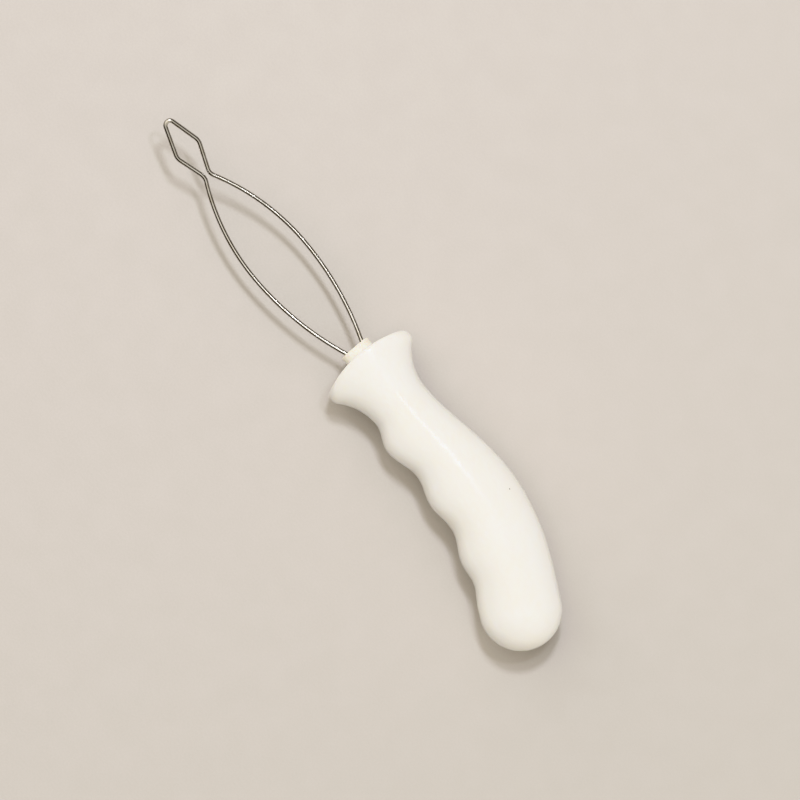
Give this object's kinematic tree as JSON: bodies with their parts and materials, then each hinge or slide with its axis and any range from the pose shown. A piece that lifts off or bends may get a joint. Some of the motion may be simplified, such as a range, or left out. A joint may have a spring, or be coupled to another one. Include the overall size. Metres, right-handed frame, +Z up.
{
  "type": "button hook",
  "caption": "Button hook with a curved white moulded grip, finger hollows and a flared front, and a bent steel wire loop that narrows to a small pointed nose.",
  "frame": {"origin": "on the surface that the tool lies on, under the middle of its box", "axes": "+X from the grip towards the hook's tip, +Y towards the finger hollows, +Z up from the surface"},
  "size_m": [0.2144, 0.0454, 0.0275],
  "materials": {
    "grip_pvc": "soft white moulded PVC with a low gloss",
    "plug_plastic": "cream moulded plastic",
    "hook_steel": "bright drawn spring steel wire"
  },
  "bodies": {
    "root": {"grip": "grip_pvc", "plug": "plug_plastic", "wire_hook": "hook_steel"}
  },
  "joints": []
}
